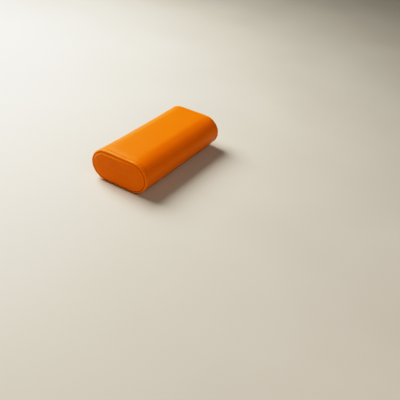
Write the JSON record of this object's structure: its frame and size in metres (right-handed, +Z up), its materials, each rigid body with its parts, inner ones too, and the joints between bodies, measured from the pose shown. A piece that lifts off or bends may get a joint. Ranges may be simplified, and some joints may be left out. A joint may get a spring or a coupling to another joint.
{
  "type": "massage bolster",
  "caption": "Flat-oval foam massage bolster in smooth coated leather, with sewn-in oval end panels and a removable zip-on cover along its rear side.",
  "frame": {"origin": "centre of the flat base, on the surface the bolster lies on", "axes": "+X along the bolster, away from the end that faces the viewer; +Y towards the long round side with the zip; +Z up, from the flat base to the flat top"},
  "size_m": [0.3424, 0.1714, 0.086],
  "materials": {
    "cover_leather": "satin",
    "firm_foam": "open-cell foam",
    "soft_foam": "open-cell foam",
    "wadding": "lofty fibre",
    "sewing_thread": "twisted thread",
    "zip_tape": "woven",
    "zip_plastic": "moulded",
    "slider_metal": "nickel"
  },
  "bodies": {
    "cushion": {"foam_core": "firm_foam", "soft_foam_wrap": "soft_foam", "fibre_wrap": "wadding", "fibre_end_pad_near": "wadding", "fibre_end_pad_far": "wadding", "cover_wrap": "cover_leather", "end_panel_near": "cover_leather", "end_panel_far": "cover_leather", "end_seam_thread_near": "sewing_thread", "end_seam_thread_far": "sewing_thread", "closing_seam_thread": "sewing_thread", "zip_tape_upper": "zip_tape", "zip_tape_lower": "zip_tape", "zip_elements_upper": "zip_plastic", "zip_elements_lower": "zip_plastic", "zip_top_stops": "zip_plastic", "zip_bottom_stop": "zip_plastic", "zip_topstitch_upper": "sewing_thread", "zip_topstitch_lower": "sewing_thread", "zip_end_tacks": "sewing_thread"},
    "slider": {"slider_body": "slider_metal", "slider_bail": "slider_metal"},
    "tab": {"pull_tab": "slider_metal"}
  },
  "joints": [
    {"name": "zip_slide", "type": "slide", "parent": "cushion", "child": "slider", "axis": [1, 0, 0], "range_m": [0, 0.24], "deforming": ["zip_elements_upper", "zip_elements_lower"]},
    {"name": "pull_tab_hinge", "type": "hinge", "parent": "slider", "child": "tab", "pos_m": [-0.1225, 0.0854, 0.043], "axis": [0, 0, 1], "range_deg": [0, 170]}
  ]
}
